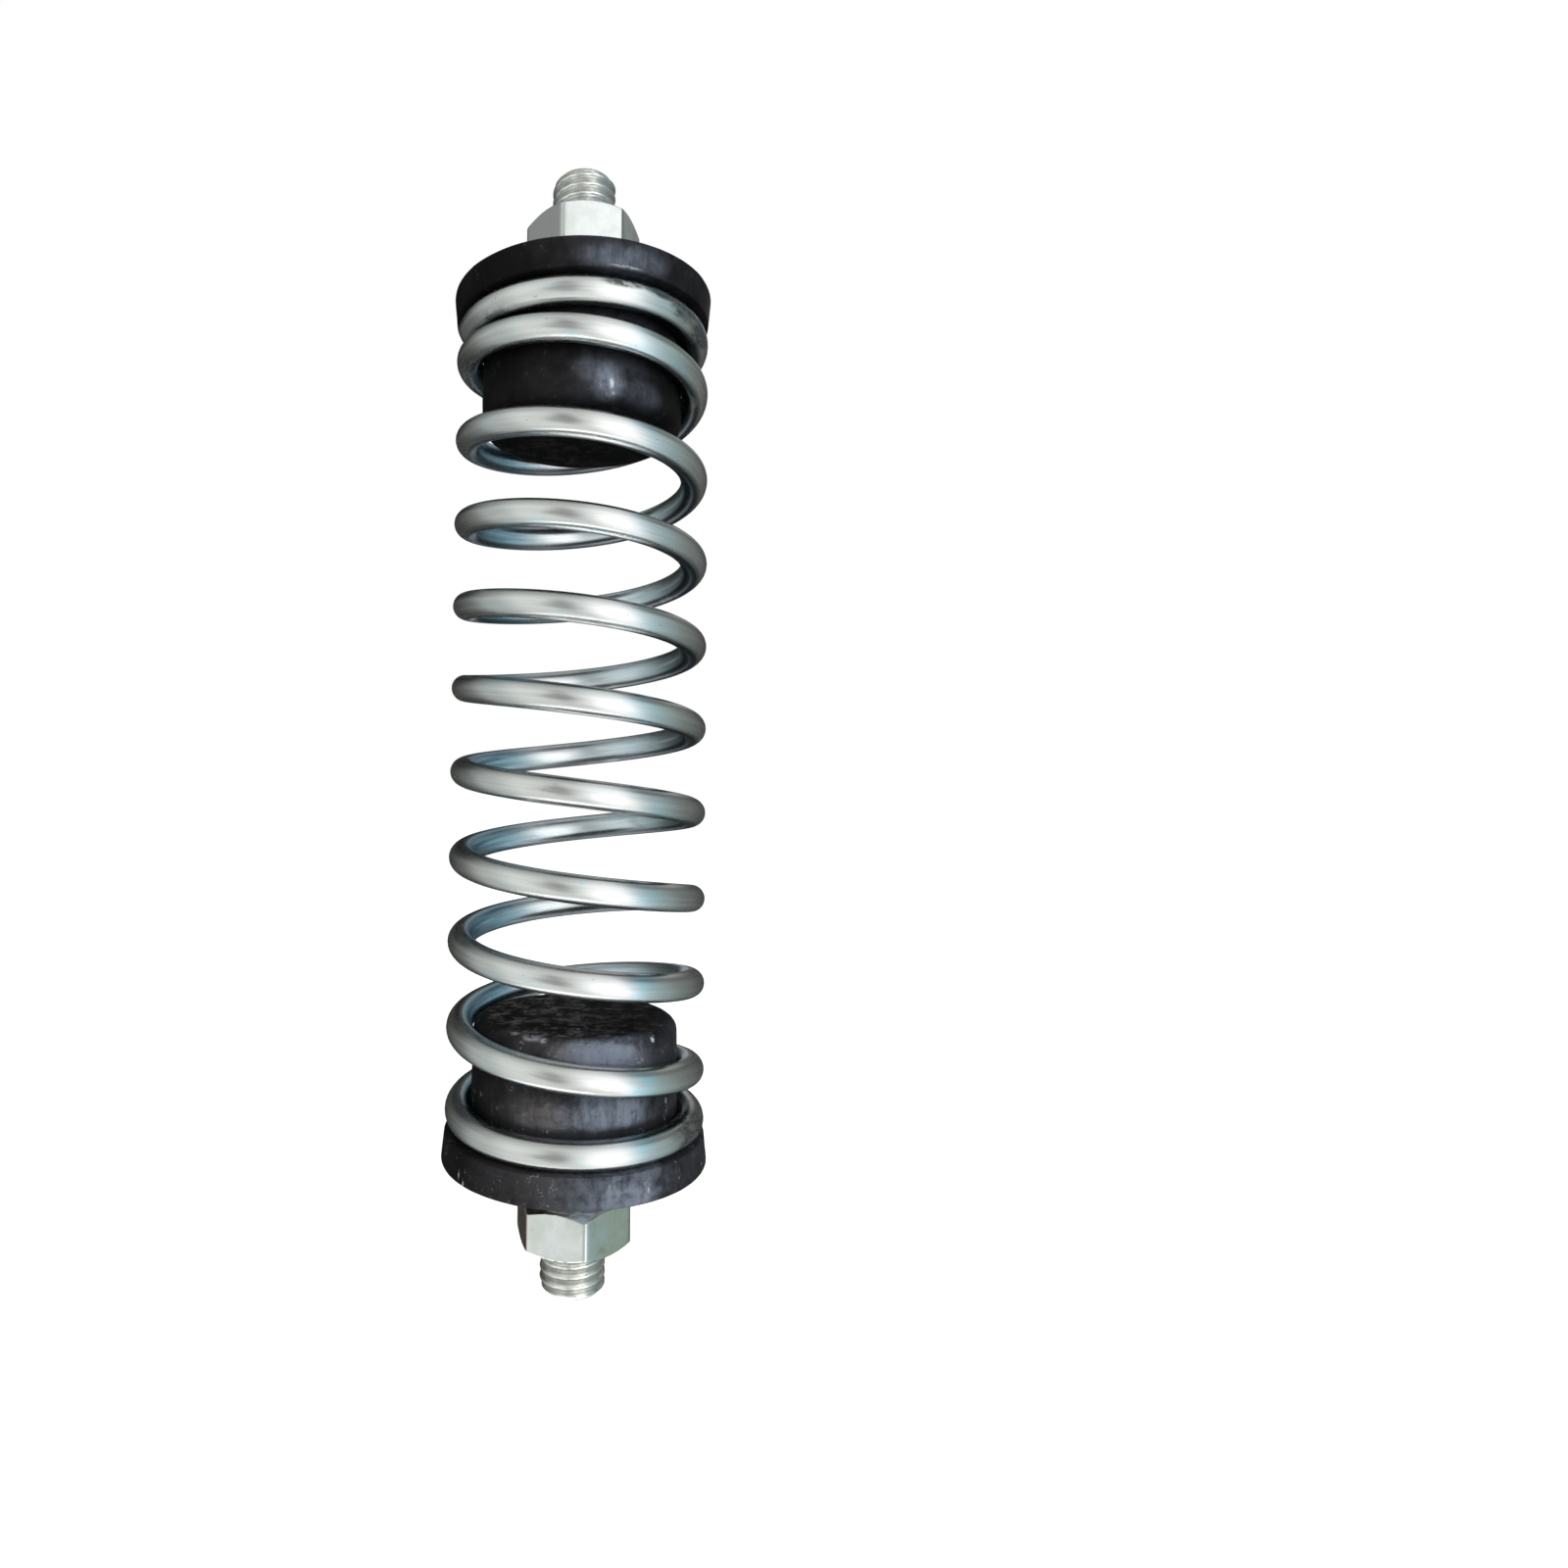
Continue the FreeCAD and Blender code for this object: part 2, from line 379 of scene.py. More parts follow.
def zinc_wire():
    """Drawn wire with blue-white zinc, made brighter and bluer inside the coil by painted reflection,
    with painted shade under it, smears that are partly painted shade, and streaks.
    """
    s = Shader("zinc_wire", Metallic=1.0, Specular_Tint=rgb(0.5, 0.53, 0.55))
    own = s.place()
    part = s.split(own)
    # In the wire's own place X is out of the coil, Y is down and Z is along the wire, in mm.
    place = s.add("Attribute", output="Vector", attribute_name="wire_place")
    wire = s.split(place)
    streaks = s.noise(s.scaled(place, (1.3, 1.3, 0.05)), 1.0, 4.0, 0.55)
    patches = s.noise(s.scaled(place, (0.25, 0.25, 0.09)), 1.0, 3.0, 0.55, 0.4)
    grime = s.noise(s.scaled(place, (0.8, 0.8, 0.35)), 1.0, 6.0, 0.7)
    specks = s.noise(place, 1.9, 2.0, 0.5)
    tints = s.noise(s.scaled(place, (0.35, 0.35, 0.12)), 1.0, 3.0, 0.6, 0.6)

    # The outside of the coil is grey with faint tints, and stripes of them that are partly painted reflection.
    outer = s.mix(s.spread(streaks, 0.3, 0.7), rgb(0.6, 0.61, 0.6), rgb(0.7, 0.705, 0.69))
    outer = s.mix(s.spread(tints, 0.56, 0.68, 0.0, 0.5), outer, rgb(0.5, 0.68, 0.72))
    outer = s.mix(s.spread(tints, 0.42, 0.32, 0.0, 0.4), outer, rgb(0.66, 0.58, 0.56))
    low_down = s.spread(part["Z"], 0.03, 0.06, 1.0, 0.36)
    tinted = s.product(s.spread(tints, 0.42, 0.58, 0.2, 1.0), low_down)
    for start, full, fade, end, share, tint in WIRE_TINTS_AND_REFLECTIONS:
        rising = s.spread(part["X"], start * MM, full * MM)
        falling = s.spread(part["X"], end * MM, fade * MM)
        outer = s.mix(s.product(rising, falling, tinted, share), outer, rgb(*tint))

    # The inside is brighter and bluish as a painted reflection, bluest at the left, with a painted
    # highlight left of the middle. Painted shade darkens its upper edge at the left, and its right.
    lit = s.spread(streaks, 0.36, 0.6)
    inner_painted_reflection = s.mix(lit, rgb(0.6, 0.7, 0.74), rgb(0.84, 0.9, 0.92))
    # A near-white painted highlight on the inside, just left of the middle.
    bright = s.mix(lit, rgb(0.78, 0.87, 0.9), rgb(1.0, 1.0, 1.0))
    blue_painted_reflection = s.mix(lit, rgb(0.36, 0.6, 0.74), rgb(0.52, 0.8, 0.96))
    inner_painted_reflection = s.mix(s.spread(part["X"], 0.001, -0.0025), inner_painted_reflection, bright)
    leftward = s.spread(part["X"], -0.008, -0.0165)
    inner_painted_reflection = s.mix(leftward, inner_painted_reflection, blue_painted_reflection)
    # Painted shade along the inside's upper edge at the left.
    shaded = s.product(leftward, s.spread(wire["Y"], -1.2, -2.0, 0.0, 0.75))
    inner_painted_reflection = s.mix(shaded, inner_painted_reflection, rgb(0.08, 0.14, 0.18))
    # Painted shade on the inside towards the right, but for its upper edge.
    right_painted_shade = s.product(s.spread(part["X"], 0.01, 0.0175), s.spread(wire["Y"], -1.8, -1.0))
    inner_painted_reflection = s.mix(right_painted_shade, inner_painted_reflection, rgb(0.46, 0.54, 0.56))
    inside = s.spread(wire["X"], 1.0, -1.6)
    colour = s.mix(inside, outer, inner_painted_reflection)

    # Painted shade lies under the wire, and further out under it at the front and the right.
    by_side = s.spread(part["X"], -0.002, -0.009, 0.95, 0.75)
    below = s.product(s.spread(wire["Y"], 1.35, 1.95), by_side)
    by_front = s.spread(part["Y"], 0.0, -0.006, 0.0, 0.9)
    below_front = s.product(s.spread(wire["Y"], 0.5, 1.3), by_front)
    reach = s.math("SUBTRACT", wire["X"], s.spread(part["X"], 0.005, 0.015, 0.0, 0.9))
    painted_shade_under = s.product(s.spread(reach, 0.6, -0.6), s.math("MAXIMUM", below, below_front))
    colour = s.mix(painted_shade_under, colour, rgb(0.05, 0.055, 0.06))

    # The zinc shows through all marks but the thick of a smear, and of the painted shade among them.
    bare = 1.0
    for smear_and_shade in s.marks(own, WIRE_SMEARS_AND_SHADE, grime, 0.4, 0.54, 0.35, 1.0):
        colour = s.mix(smear_and_shade, colour, rgb(0.025, 0.036, 0.04))
        bare = s.product(bare, s.math("SUBTRACT", 1.0, smear_and_shade))
    dull = s.spread(patches, 0.6, 0.74, 0.0, 0.4)
    colour = s.mix(dull, colour, rgb(0.42, 0.4, 0.37))
    dirt = s.spread(grime, 0.64, 0.74, 0.0, 0.45)
    colour = s.mix(dirt, colour, rgb(0.22, 0.2, 0.17))
    pits = s.spread(specks, 0.72, 0.78, 0.0, 0.5)
    colour = s.mix(pits, colour, rgb(0.14, 0.13, 0.12))

    rough = s.spread(streaks, 0.25, 0.75, 0.21, 0.28)
    for share, more in ((inside, 0.05), (dull, 0.2), (dirt, 0.3)):
        rough = s.math("ADD", rough, s.product(share, more))
    fine = s.noise(s.scaled(place, (5.0, 5.0, 0.25)), 1.0, 3.0, 0.6)
    height = s.math("SUBTRACT", patches, pits)
    normal = s.bump(height, 0.1, 0.0003, s.bump(fine, 0.035, 0.0002))
    metal = s.spread(bare, 0.0, 0.3)
    s.drive(Base_Color=colour, Metallic=metal, Roughness=rough, Normal=normal)
    return s.material


def zinc_nut():
    """Smooth pressed zinc with faint stains, painted reflection on the lower nut's side faces, and
    bluish dust with a painted sheen on the faces that look up.
    """
    s = Shader("zinc_nut", Metallic=1.0, Specular_Tint=rgb(0.5, 0.52, 0.52))
    own = s.place()
    part = s.split(own)
    stains = s.noise(own, 210.0, 4.0, 0.6, 0.3)
    fine = s.noise(own, 1500.0, 3.0, 0.6)
    scuffs = s.noise(s.scaled(own, (400.0, 400.0, 1600.0)), 1.0, 4.0, 0.6)
    colour = s.mix(s.spread(stains, 0.35, 0.68), rgb(0.69, 0.715, 0.71), rgb(0.62, 0.645, 0.61))

    # The lower nut has a warm painted reflection on its left face, and at its right a green painted
    # reflection broken up by stains, with darker blots.
    lower_nut = s.spread(part["Z"], 0.05, 0.0)
    warm_painted_reflection = s.product(lower_nut, s.spread(part["X"], -0.0072, -0.0088, 0.0, 0.85))
    colour = s.mix(warm_painted_reflection, colour, rgb(1.0, 0.78, 0.68))
    right = s.product(s.spread(part["X"], 0.001, 0.007), lower_nut)
    green_reflection_and_stains = s.product(right, s.spread(stains, 0.3, 0.6, 0.3, 0.9))
    colour = s.mix(green_reflection_and_stains, colour, rgb(0.62, 0.6, 0.44))
    blots = s.product(right, s.spread(stains, 0.52, 0.66, 0.0, 0.7))
    colour = s.mix(blots, colour, rgb(0.3, 0.33, 0.22))
    colour = s.mix(s.spread(fine, 0.62, 0.8, 0.0, 0.4), colour, rgb(0.3, 0.29, 0.26))

    # Bluish dust on the faces that look up, mostly at the right, where it is also a painted sheen.
    upward = s.split(s.add("NewGeometry", output="Normal"))["Z"]
    dust_and_sheen = s.product(
        s.spread(upward, 0.25, 0.7),
        s.spread(part["X"], -0.006, 0.002, 0.0, 0.85),
        s.spread(scuffs, 0.4, 0.6, 0.4, 1.0),
    )
    colour = s.mix(dust_and_sheen, colour, rgb(0.4, 0.5, 0.62))
    metal = s.math("SUBTRACT", 1.0, dust_and_sheen)
    rough = s.spread(stains, 0.3, 0.7, 0.14, 0.26)
    normal = s.bump(scuffs, 0.1, 0.0002, s.bump(fine, 0.08, 0.0001))
    s.drive(Base_Color=colour, Metallic=metal, Roughness=rough, Normal=normal)
    return s.material


def zinc_thread():
    """Rolled zinc thread, with dull crests and painted shade in the roots."""
    s = Shader("zinc_thread", Metallic=1.0, Specular_Tint=rgb(0.4, 0.42, 0.42))
    own = s.place()
    radius = s.length(s.scaled(own, (1.0, 1.0, 0.0)))
    blotch = s.noise(own, 420.0, 4.0, 0.65)
    # Painted shade in the thread's roots, broken up by blotches.
    root = s.spread(radius, (STUD_R - 0.35) * MM, (STUD_R - THREAD_DEPTH) * MM)
    root = s.product(root, s.spread(blotch, 0.3, 0.6, 0.55, 1.0))
    clean = s.mix(s.spread(blotch, 0.4, 0.7), rgb(0.88, 0.89, 0.86), rgb(0.74, 0.76, 0.72))
    colour = s.mix(root, clean, rgb(0.46, 0.45, 0.42))
    rough = s.math("ADD", s.spread(blotch, 0.3, 0.7, 0.22, 0.36), s.product(root, 0.3))
    normal = s.bump(s.noise(own, 2600.0, 3.0, 0.6), 0.1, 0.0001)
    s.drive(Base_Color=colour, Roughness=rough, Normal=normal)
    return s.material


def black_rubber(name, black, dust_and_sheen_share, seed, sheen_patches, nicks):
    """Moulded black rubber with a soft gloss and bluish grey dust, thickest towards the front and
    right as a painted sheen, with painted shade beside the wire."""
    s = Shader(name, Metallic=0.0, IOR=1.1, Specular_IOR_Level=0.22)
    own = s.place()
    part = s.split(own)
    place = s.add("Mapping", {"Vector": own, "Location": (seed, 0.0, 0.0)})
    broad = s.noise(place, 90.0, 4.0, 0.6, 0.5)
    mottle = s.noise(place, 420.0, 6.0, 0.7, 0.3)
    fine = s.noise(place, 2200.0, 4.0, 0.65)
    upright = s.noise(s.scaled(place, (900.0, 900.0, 120.0)), 1.0, 4.0, 0.65)
    slanted = {"Vector": place, "Rotation": (0.0, 0.6, 0.3), "Scale": (300.0, 300.0, 2400.0)}
    brushed = s.noise(s.add("Mapping", slanted), 1.0, 3.0, 0.6)
    radius = s.length(s.scaled(own, (1.0, 1.0, 0.0)))
    end_face = s.spread(radius, 0.0172, 0.0155)
    around = s.math("ARCTAN2", part["X"], s.math("MULTIPLY", part["Y"], -1.0))

    # Dust, with a painted sheen that keeps it to the front and right, patches of painted sheen, and
    # painted shade beside the wire, where hardly any shows.
    facing = s.product(
        s.spread(around, math.radians(-55), math.radians(24), 0.05, 1.0),
        s.spread(around, math.radians(50), math.radians(26), 0.14, 1.0),
        s.spread(radius, 0.0155, 0.0178, 0.12, 1.0),
        s.spread(radius, 0.0215, 0.0228, 1.0, 0.86),
    )
    settled = s.math("MULTIPLY", broad, s.spread(mottle, 0.25, 0.75, 0.6, 1.4))
    dust_and_sheen = s.product(s.spread(settled, 0.3, 0.62, 0.25, 1.0), facing, dust_and_sheen_share)
    for sheen_patch in s.marks(own, sheen_patches, mottle, 0.3, 0.7, 0.55, 1.1):
        sheen_patch = s.product(sheen_patch, s.spread(upright, 0.38, 0.6, 0.75, 1.06))
        dust_and_sheen = s.math("ADD", dust_and_sheen, sheen_patch, clamp=True)
    # Painted shade beside the wire: the dust and sheen are taken away there.
    painted_shade_beside_wire = s.product(s.spread(radius, 0.0205, 0.0195), s.spread(part["Z"], 0.0118, 0.0098))
    dust_and_sheen = s.product(dust_and_sheen, s.spread(painted_shade_beside_wire, 0.0, 1.0, 1.0, 0.08))

    # The dust and painted sheen are browner at the left and bluer from the front to the right, and the
    # plug's end has faded.
    black_tone, soft_tone = rgb(black, black, black), rgb(2 * black, 2 * black, 2.2 * black)
    colour = s.mix(s.spread(broad, 0.35, 0.7), black_tone, soft_tone)
    leftward = s.spread(around, math.radians(12), math.radians(-16))
    dust_and_sheen_tone = s.mix(leftward, rgb(0.15, 0.173, 0.215), rgb(0.094, 0.089, 0.092))
    dust_and_sheen_tone = s.mix(s.spread(upright, 0.3, 0.7, 0.18, 0.0), dust_and_sheen_tone, rgb(0, 0, 0))
    colour = s.mix(dust_and_sheen, colour, dust_and_sheen_tone)
    faded = s.product(
        end_face,
        s.spread(part["X"], 0.012, -0.008, 0.25, 1.0),
        s.spread(mottle, 0.45, 0.62),
        dust_and_sheen_share,
    )
    colour = s.mix(faded, colour, rgb(0.14, 0.128, 0.12))
    flecks = s.product(s.spread(mottle, 0.57, 0.65), s.spread(fine, 0.5, 0.6), dust_and_sheen_share)
    colour = s.mix(flecks, colour, rgb(0.2, 0.21, 0.22))
    scrape = s.product(s.spread(brushed, 0.62, 0.74), dust_and_sheen, 0.3)
    colour = s.mix(scrape, colour, rgb(0.2, 0.21, 0.24))
    for nick in s.marks(own, nicks, s.math("ADD", fine, mottle), 0.85, 1.1, 0.0, 1.0):
        colour = s.mix(nick, colour, rgb(0.42, 0.45, 0.48))

    rough = s.math("ADD", s.spread(mottle, 0.3, 0.7, 0.36, 0.5), s.product(dust_and_sheen, 0.3))
    rough = s.math("ADD", rough, s.product(end_face, 0.4), clamp=True)
    normal = s.bump(mottle, 0.2, 0.0003, s.bump(fine, 0.14, 0.0001))
    s.drive(Base_Color=colour, Roughness=rough, Normal=normal)
    return s.material


def skinned(rings, loop=False):
    """Points and faces over a row of rings. A ring of one point is a pole. loop joins the last
    ring to the first."""
    points, starts = [], []
    for ring in rings:
        starts.append(len(points))
        points.extend(ring)
    faces = []
    pairs = list(zip(range(len(rings) - 1), range(1, len(rings))))
    if loop:
        pairs.append((len(rings) - 1, 0))
    for a, b in pairs:
        count = max(len(rings[a]), len(rings[b]))
        for k in range(count):
            n = (k + 1) % count
            if len(rings[a]) == 1:
                faces.append((starts[a], starts[b] + k, starts[b] + n))
            elif len(rings[b]) == 1:
                faces.append((starts[a] + k, starts[b], starts[a] + n))
            else:
                faces.append((starts[a] + k, starts[b] + k, starts[b] + n, starts[a] + n))
    return points, faces


def meshed(name, points, faces, material):
    """An object from points in millimetres, in the scene."""
    mesh = bpy.data.meshes.new(name)
    mesh.from_pydata([Vector(p) * MM for p in points], [], faces)
    mesh.materials.append(material)
    made = bpy.data.objects.new(name, mesh)
    bpy.context.scene.collection.objects.link(made)
    return made


def piece(name, points, faces, material, slot, sharp_deg):
    """A closed piece of the part, smooth but for edges sharper than sharp_deg."""
    made = meshed(name, points, faces, material)
    shaped = bmesh.new()
    shaped.from_mesh(made.data)
    bmesh.ops.recalc_face_normals(shaped, faces=shaped.faces)
    shaped.to_mesh(made.data)
    shaped.free()
    made.data.shade_smooth()
    made.data.set_sharp_from_angle(angle=math.radians(sharp_deg))
    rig.slot(made, slot)
    return made


def rounded(corners):
    """A profile through (radius, height, rounding) corners, with arcs at all but the ends and
    long runs divided."""
    arc_steps, longest = 6, 0.7
    flat = [Vector(c[:2]) for c in corners]
    path = [flat[0]]
    sizes = [c[2] for c in corners[1:-1]]
    for before, here, after, size in zip(flat, flat[1:], flat[2:], sizes):
        into, out = (before - here).normalized(), (after - here).normalized()
        half = into.angle(out) / 2
        reach = size / math.tan(half)
        middle = here + (into + out).normalized() * (size / math.sin(half))
        start, end = here + into * reach - middle, here + out * reach - middle
        sweep = start.angle_signed(end)
        for k in range(arc_steps + 1):
            turned = start.copy()
            turned.rotate(Matrix.Rotation(-sweep * k / arc_steps, 2))
            path.append(middle + turned)
    path.append(flat[-1])
    dense = [path[0]]
    for a, b in zip(path, path[1:]):
        count = max(1, math.ceil((b - a).length / longest))
        dense.extend(a.lerp(b, k / count) for k in range(1, count + 1))
    return dense


def soft_min(a, b, blend):
    """The lower of a and b, with the step between them rounded off over blend."""
    share = max(0.0, min(1.0, 0.5 + (b - a) / (2 * blend)))
    return b + (a - b) * share - blend * share * (1 - share)


def on_circle(radius, angle_deg, z):
    a = math.radians(angle_deg)
    return (radius * math.cos(a), radius * math.sin(a), z)


def even_angles(count):
    return [360 * k / count for k in range(count)]


def circle(radius, z, angles):
    return [on_circle(radius, a, z) for a in angles]


def hex_radius(angle_deg):
    """From the axis to a hexagon's side, with slightly rounded corners. A flat faces -Y at 0."""
    corner_cut, corner_round = 0.13, 0.23
    off = (angle_deg + 90 + 30) % 60 - 30
    side = FLATS / 2 / math.cos(math.radians(off))
    corner = FLATS / 2 / math.cos(math.radians(30))
    return soft_min(side, corner - corner_cut, corner_round)


def hex_angles(turn_deg):
    """Angles round a hexagon, closer together near its corners."""
    per_side = 26
    return [
        turn_deg - 90 + 60 * side + 30 * math.sin(math.pi / 2 * (2 * k / per_side - 1))
        for side in range(6)
        for k in range(per_side)
    ]


def unevenness(turn):
    """How far a turn stands off the even pitch."""
    low = int(turn)
    share = (1 - math.cos(math.pi * (turn - low))) / 2
    return UNEVEN[low] + (UNEVEN[low + 1] - UNEVEN[low]) * share


def coil_height(turn):
    """Height of the wire's centre at a turn."""
    top = FACE_TO_FACE - END_HEIGHT
    lift_off = FRONT_TURN - (top - FRONT_CROSSING) / PITCH
    into = turn - (lift_off - TOP_RAMP / 2)
    touch_down = FRONT_TURN + (FRONT_CROSSING - END_HEIGHT) / PITCH
    left = touch_down + BOTTOM_RAMP / 2 - turn
    if into < 0:
        return top
    if left < 0:
        return END_HEIGHT
    if left < BOTTOM_RAMP:
        return END_HEIGHT + PITCH * left**2 / (2 * BOTTOM_RAMP)
    if into < TOP_RAMP:
        even = top - PITCH * into**2 / (2 * TOP_RAMP)
    else:
        even = FRONT_CROSSING + PITCH * (FRONT_TURN - turn)
    return even + unevenness(turn) * min(1.0, max(0.0, turn - UNEVEN_FROM) / UNEVEN_OVER)


def coil_point(turn):
    angle = 2 * math.pi * turn - math.pi / 2
    return Vector((COIL_R * math.cos(angle), COIL_R * math.sin(angle), coil_height(turn)))


def ride_share(turn):
    """How far a turn goes with the upper seat, so that the coil closes evenly until it is solid."""
    if turn <= FIRST_FREE_TURN:
        return 1.0
    if turn >= LAST_FREE_TURN:
        return 0.0
    solid_pitch = 2 * WIRE_R + COIL_CLEAR
    solid = coil_height(LAST_FREE_TURN) + solid_pitch * (LAST_FREE_TURN - turn)
    return max(0.0, min(1.0, (coil_height(turn) - solid) / SOLID_TRAVEL))


def coil_wire(material):
    per_turn, around, cut_round, nudge = 84, 30, 0.35, 0.002
    count = round((BOTTOM_END_TURN - TOP_END_TURN) * per_turn)
    step = (BOTTOM_END_TURN - TOP_END_TURN) / count
    per_mm = 1 / (2 * math.pi * COIL_R)
    # Each end is cut square with its rim rounded off: how far in from the end, and the radius.
    cut = [
        (0.0, 0.0),
        (0.0, WIRE_R - cut_round),
        (0.3 * cut_round, WIRE_R - 0.3 * cut_round),
        (cut_round, WIRE_R),
    ]
    stations = [(TOP_END_TURN + run * per_mm, radius) for run, radius in cut]
    stations += [(TOP_END_TURN + step * n, WIRE_R) for n in range(1, count)]
    stations += [(BOTTOM_END_TURN - run * per_mm, radius) for run, radius in reversed(cut)]
    rings, places, shares = [], [], []
    run, last = 0.0, coil_point(TOP_END_TURN)
    for turn, radius in stations:
        centre = coil_point(turn)
        run += (centre - last).length
        last = centre
        along = (coil_point(turn + nudge) - coil_point(turn - nudge)).normalized()
        out = Vector((centre.x, centre.y, 0)).normalized()
        out = (out - along * out.dot(along)).normalized()
        down = along.cross(out)
        ring = []
        for k in range(around if radius else 1):
            a = 2 * math.pi * k / around
            ring.append(centre + (out * math.cos(a) + down * math.sin(a)) * radius)
            places.append((radius * math.cos(a), radius * math.sin(a), run))
            shares.append(ride_share(turn))
        rings.append(ring)
    points, faces = skinned(rings)
    made = piece("coil_wire", points, faces, material, "zinc_plated_wire", sharp_deg=50)
    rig.replaces(made, "coil_spring")
    start = (0, 0, coil_height(LAST_FREE_TURN) * MM)
    end = (0, 0, coil_height(FIRST_FREE_TURN) * MM)
    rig.blend(made, "lower_mount", "upper_mount", start=start, end=end)
    made.data.attributes["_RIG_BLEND"].data.foreach_set("value", shares)
    kept = made.data.attributes.new("wire_place", "FLOAT_VECTOR", "POINT")
    kept.data.foreach_set("vector", [x for p in places for x in p])


# The pieces below are turned about the axis and made for the lower end.


def thread_radius(angle_deg, z):
    """A metric thread's surface: flat crests, 60 degree flanks and rounded roots."""
    crest_half, slope, root_round = THREAD_PITCH / 10, math.tan(math.radians(60)), 0.3
    phase = (z / THREAD_PITCH - angle_deg / 360) % 1.0
    from_crest = min(phase, 1 - phase) * THREAD_PITCH
    down = max(0.0, from_crest - crest_half) * slope
    return STUD_R - THREAD_INSET - soft_min(down, THREAD_DEPTH, root_round)


def stud_mesh(name, material):
    angles = even_angles(108)
    end, neck = -STUD_REACH, HEAD_TOP - HEAD_THICK
    dish_r, dish = 3.2, 0.6
    chamfer_round, thread_top, per_pitch = 0.12, 3.0, 16
    fade_from, fade_over = 1.0, 1.5
    head_round = 0.9
    rings = [
        [(0, 0, end + dish)],
        circle(1.2, end + dish - 0.12, angles),
        circle(2.3, end + dish * 0.45, angles),
        circle(dish_r, end, angles),
        circle(dish_r + 0.4, end, angles),
    ]
    step = THREAD_PITCH / per_pitch
    for n in range(round((thread_top - end) / step) + 1):
        z = end + step * n
        cone = STUD_R - STUD_CHAMFER + z - end
        fade = max(0.0, min(1.0, (z - fade_from) / fade_over))
        ring = []
        for angle in angles:
            turned = thread_radius(angle, z)
            turned += (SHANK_R - turned) * fade
            ring.append(on_circle(soft_min(turned, cone, chamfer_round), angle, z))
        rings.append(ring)
    rings += [circle(SHANK_R, z, angles) for z in (neck - 3.0, neck)]
    for z in (neck, HEAD_TOP - head_round):
        rings.append([on_circle(hex_radius(a), a, z) for a in angles])
    rings += [circle(FLATS / 2 * 0.97, HEAD_TOP, angles), [(0, 0, HEAD_TOP)]]
    points, faces = skinned(rings)
    return piece(name, points, faces, material, "zinc_plated_thread", sharp_deg=38)


def inside_coil(angle_deg, z):
    """The radius where something inside the coil meets the wire, or the coil's if it doesn't."""
    least = COIL_R
    turn = TOP_END_TURN + ((angle_deg + 90) / 360 - TOP_END_TURN) % 1.0
    while turn <= BOTTOM_END_TURN:
        off = abs(z - coil_height(turn))
        if off < WIRE_R:
            least = min(least, COIL_R - math.sqrt(WIRE_R**2 - off**2) - WIRE_CLEAR)
        turn += 1
    return least


def waviness(x, y, z, seed):
    """How far the moulded rubber lies under its profile."""
    mean, broad, fine = 0.05, 0.05, 0.03
    here = Vector((x, y, z))
    sway = noise.noise(here * 0.11 + Vector((seed, 0, 0)))
    grain = noise.noise(here * 0.5 + Vector((0, seed, 0)))
    return mean + broad * sway + fine * grain


def seat_mesh(name, material, seed, upper):
    """A rubber seat, pressed in by the wire, and the pocket that the stud's head fills."""
    angles = even_angles(180)
    bore = STUD_R + BOND_CLEAR
    wavy_from, pressed_from = STUD_R + 1.5, FLANGE_THICK + 0.1
    outside = rounded([
        (0.0, SEAT_HEIGHT, 0),
        (PLUG_R - PLUG_TAPER, SEAT_HEIGHT, PLUG_END_ROUND),
        (PLUG_R, FLANGE_THICK, PLUG_ROOT_ROUND),
        (FLANGE_R - FLANGE_TAPER, FLANGE_THICK, FLANGE_LIP),
        (FLANGE_R, 0.0, FLANGE_EDGE),
        (LIP_R, 0.0, 0.25),
        (LIP_R - LIP_DEPTH, LIP_DEPTH, 0.2),
        (bore, LIP_DEPTH, 0),
    ])
    rings = [[(0, 0, SEAT_HEIGHT)]]
    for r, z in outside[1:]:
        ring = []
        for angle in angles:
            inward = waviness(*on_circle(r, angle, z), seed) if r > wavy_from else 0.0
            pressed = r
            if z > pressed_from:
                wire = inside_coil(-angle, FACE_TO_FACE - z) if upper else inside_coil(angle, z)
                pressed = min(r, wire)
            ring.append(on_circle(pressed - inward, angle, z))
        rings.append(ring)
    head_low, head_high = HEAD_TOP - HEAD_THICK - BOND_CLEAR, HEAD_TOP + BOND_CLEAR
    rings.append(circle(bore, head_low, angles))
    for z in (head_low, head_high):
        rings.append([on_circle(hex_radius(a) + BOND_CLEAR, a, z) for a in angles])
    rings.append([(0, 0, head_high)])
    points, faces = skinned(rings)
    return piece(name, points, faces, material, "black_rubber", sharp_deg=40)


